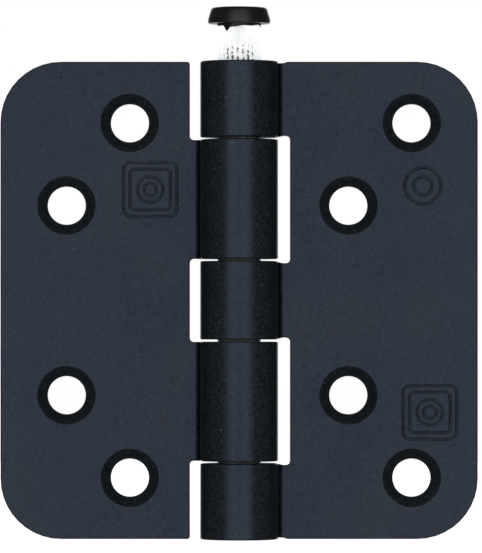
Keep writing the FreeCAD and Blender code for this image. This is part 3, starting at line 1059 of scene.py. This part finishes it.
def make_head(material):
    """The painted button head, with its coat of paint ending unevenly on the neck."""
    pin = settings("pin")
    seat, film, edge, collar = 0.03 * MM, 0.04 * MM, 0.25 * MM, 0.1 * MM
    edge_margin, edge_steps, top_steps = 2.6 * edge, 5, 9
    under = HEAD_TOP - pin.head_height + seat
    rounding = pin.head_round
    neck = pin.shaft_radius + film
    profile = [(HEAD_RADIUS - edge_margin, under)]
    profile += [
        (HEAD_RADIUS - edge * (1 - math.sin(a)), under + edge * (1 - math.cos(a)))
        for a in np.linspace(0, math.pi / 2, edge_steps)
    ]
    profile.append((HEAD_RADIUS, under + pin.head_rim))
    slope = math.atan2(HEAD_RADIUS - pin.head_top_radius, pin.head_height - rounding - pin.head_rim)
    centre = (pin.head_top_radius - rounding, HEAD_TOP - rounding)
    profile += [
        (centre[0] + rounding * math.cos(a), centre[1] + rounding * math.sin(a))
        for a in np.linspace(slope, math.pi / 2, top_steps)
    ]
    profile += [(centre[0] * share, HEAD_TOP) for share in (0.9, 0.5)]
    points, faces, rows = [], [], []

    def row(radius, height_at):
        """A ring of points at one radius, whose height may change round the neck."""
        first = len(points)
        for sector in range(HEAD_STEPS):
            angle = math.tau * sector / HEAD_STEPS
            points.append((radius * math.cos(angle), radius * math.sin(angle), height_at(angle)))
        rows.append(range(first, first + HEAD_STEPS))

    row(pin.shaft_radius - film, lambda a: under - paint_edge(a) + film)
    row(pin.shaft_radius + 0.3 * film, lambda a: under - paint_edge(a))
    row(neck, lambda a: under - paint_edge(a) + film)
    row(neck, lambda a: under - 0.45 * paint_edge(a))
    row(neck, lambda a: under - collar / 2)
    row(neck, lambda a: under)
    row(neck + collar, lambda a: under)
    for radius, height in profile:
        row(radius, lambda a, height=height: height)
    for lower, upper in zip(rows, rows[1:]):
        for place in range(HEAD_STEPS):
            after = (place + 1) % HEAD_STEPS
            faces.append((lower[place], lower[after], upper[after], upper[place]))
    points.append((0.0, 0.0, HEAD_TOP))
    top = len(points) - 1
    points.append((0.0, 0.0, under + film))
    bottom = len(points) - 1
    for place in range(HEAD_STEPS):
        after = (place + 1) % HEAD_STEPS
        faces.append((rows[-1][place], rows[-1][after], top))
        faces.append((rows[0][after], rows[0][place], bottom))
    mesh = mesh_from("pin_head", points, faces)
    mesh.materials.append(material)
    finish_mesh(mesh)
    return new_object("pin_head", mesh)


# ---------------------------------------------------------------- operators


class HINGE_OT_leaves(bpy.types.Operator):
    """Build both leaves, rolled from flat blanks, and stand them for their CAD nodes"""

    bl_idname = "hinge.leaves"
    bl_label = "Build Leaves"

    def execute(self, context):
        coat = powder_coat()
        leaves = (("frame_leaf", 1, "frame_side"), ("door_leaf", -1, "door_side"))
        for node, side, body in leaves:
            leaf = make_leaf(node, side, coat)
            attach(leaf, body)
            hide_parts(node)
        return {"FINISHED"}


class HINGE_OT_pin(bpy.types.Operator):
    """Build the knurled shaft and the painted head, and stand them for the CAD pin"""

    bl_idname = "hinge.pin"
    bl_label = "Build Pin"

    def execute(self, context):
        shaft = make_shaft(bright_zinc())
        head = make_head(head_enamel())
        for piece, slot in ((shaft, "pin_zinc"), (head, "leaf_coating")):
            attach(piece, "pin")
            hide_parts("hinge_pin")
        return {"FINISHED"}


class HINGE_OT_stage(bpy.types.Operator):
    """Build the floor, the soft boxes, the background and the camera"""

    bl_idname = "hinge.stage"
    bl_label = "Build Stage"

    def execute(self, context):
        make_floor()
        make_lamps()
        make_background()
        make_camera()
        return {"FINISHED"}


def make_floor():
    """A wide pale floor that throws no light or shadow on the hinge."""
    stage = settings("stage")
    material, tree = new_material("studio_floor")
    end_material(tree, {
        "Base Color": rgba(stage.floor),
        "Roughness": 0.9,
        "Emission Color": (1.0, 1.0, 1.0, 1.0),
        "Emission Strength": 0.9,
    })
    half = 3.0  # metres
    corners = [(-half, -half, 0.0), (half, -half, 0.0), (half, half, 0.0), (-half, half, 0.0)]
    mesh = bpy.data.meshes.new("floor")
    mesh.from_pydata(corners, [], [(0, 1, 2, 3)])
    mesh.materials.append(material)
    floor = new_object("floor", mesh)
    floor.visible_diffuse = False
    floor.visible_glossy = False
    floor.visible_shadow = False


def soft_box(name, place, target, width, height, radiance):
    """A soft box at a place, facing a target, with an even radiance over its face."""
    lamp = bpy.data.lights.new(name, "AREA")
    lamp.shape = "RECTANGLE"
    lamp.size = width
    lamp.size_y = height
    lamp.energy = math.pi * width * height * radiance
    thing = bpy.data.objects.new(name, lamp)
    thing.location = place
    facing = (Vector(target) - Vector(place)).to_track_quat("-Z", "Y")
    thing.rotation_euler = facing.to_euler()
    thing.visible_camera = False
    bpy.context.scene.collection.objects.link(thing)
    return thing


def only_the_shaft():
    """A collection that holds the bright shaft alone, for the lamps that light nothing else."""
    name = "bright_shaft"
    if name not in bpy.data.collections:
        flagged = bpy.data.collections.new(name)
        flagged.objects.link(bpy.data.objects["pin_shaft"])
    return bpy.data.collections[name]


def make_lamps():
    """Two tall soft boxes either side of the camera, a weaker one square behind the hinge, and
    a white card either side of the pin that lights only its shaft."""
    distance = settings("stage").lamp_distance
    middle = HINGE_HEIGHT / 2
    near, far, tall, front_radiance = 0.02, 0.35, 0.9, 1.13
    rear_distance, rear_width, rear_height, rear_radiance = 0.6, 0.6, 1.1, 0.8
    card_aside, card_back, card_width, card_height, card_radiance = 0.25, 0.12, 0.95, 0.5, 1.2
    width = far - near
    for name, side in (("soft_box_left", -1), ("soft_box_right", 1)):
        x = side * (near + width / 2)
        place, target = (x, -distance, middle), (x, 0.0, middle)
        soft_box(name, place, target, width, tall, front_radiance)
    place, target = (0.0, rear_distance, middle), (0.0, 0.0, middle)
    soft_box("rear_box", place, target, rear_width, rear_height, rear_radiance)
    for name, side in (("pin_card_left", -1), ("pin_card_right", 1)):
        place, target = (side * card_aside, card_back, HEAD_TOP), (0.0, card_back, HEAD_TOP)
        card = soft_box(name, place, target, card_width, card_height, card_radiance)
        card.light_linking.receiver_collection = only_the_shaft()


def make_background():
    """White to the eye; what the metal reflects from the sides is a dim studio."""
    world = bpy.data.worlds.new("studio")
    bpy.context.scene.world = world
    world.use_nodes = True
    tree = world.node_tree
    tree.nodes.clear()
    white = (1.0, 1.0, 1.0, 1.0)
    around, seen = (
        add_node(tree, "ShaderNodeBackground", {"Color": white, "Strength": strength})
        for strength in (0.1, 1.0)
    )
    to_camera = add_node(tree, "ShaderNodeLightPath").outputs["Is Camera Ray"]
    either = add_node(tree, "ShaderNodeMixShader", (to_camera, around, seen))
    add_node(tree, "ShaderNodeOutputWorld", {"Surface": either})
    bpy.context.scene.view_settings.view_transform = "Standard"


def make_camera():
    """A level camera a little below the hinge's middle, square to the leaves."""
    stage = settings("stage")
    sensor = 36.0
    data = bpy.data.cameras.new("camera")
    data.sensor_width = sensor
    data.lens = sensor * stage.camera_distance / stage.frame_height
    data.shift_y = (stage.frame_centre - stage.camera_height) / stage.frame_height
    data.clip_start = 0.01
    data.clip_end = 20.0
    camera = bpy.data.objects.new("camera", data)
    face = settings("sheet").face_plane
    aside = 0.35 * MM
    camera.location = (aside, face - stage.camera_distance, stage.camera_height)
    camera.rotation_euler = (math.pi / 2, 0.0, 0.0)
    bpy.context.scene.collection.objects.link(camera)
    bpy.context.scene.camera = camera


class HINGE_PT_panel(bpy.types.Panel):
    """The hinge's settings and its build steps"""

    bl_label = "Door Hinge"
    bl_idname = "HINGE_PT_panel"
    bl_space_type = "VIEW_3D"
    bl_region_type = "UI"
    bl_category = "Door Hinge"

    def draw(self, context):
        for operator in OPERATORS:
            self.layout.operator(operator.bl_idname)
        for name, group in GROUPS.items():
            box = self.layout.box()
            box.label(text=name.title())
            for key in group.__annotations__:
                box.prop(settings(name), key)


OPERATORS = (HINGE_OT_leaves, HINGE_OT_pin, HINGE_OT_stage)
CLASSES = (*GROUPS.values(), *OPERATORS, HINGE_PT_panel)


def register():
    """Register the classes and hang each settings group on the scene."""
    for item in CLASSES:
        bpy.utils.register_class(item)
    for name, group in GROUPS.items():
        setattr(bpy.types.Scene, f"hinge_{name}", PointerProperty(type=group))


def unregister():
    """Undo register."""
    for name in GROUPS:
        delattr(bpy.types.Scene, f"hinge_{name}")
    for item in reversed(CLASSES):
        bpy.utils.unregister_class(item)


def main():
    """Build everything in order."""
    register()
    bpy.ops.hinge.leaves()
    bpy.ops.hinge.pin()
    bpy.ops.hinge.stage()


if __name__ == "__main__":
    main()
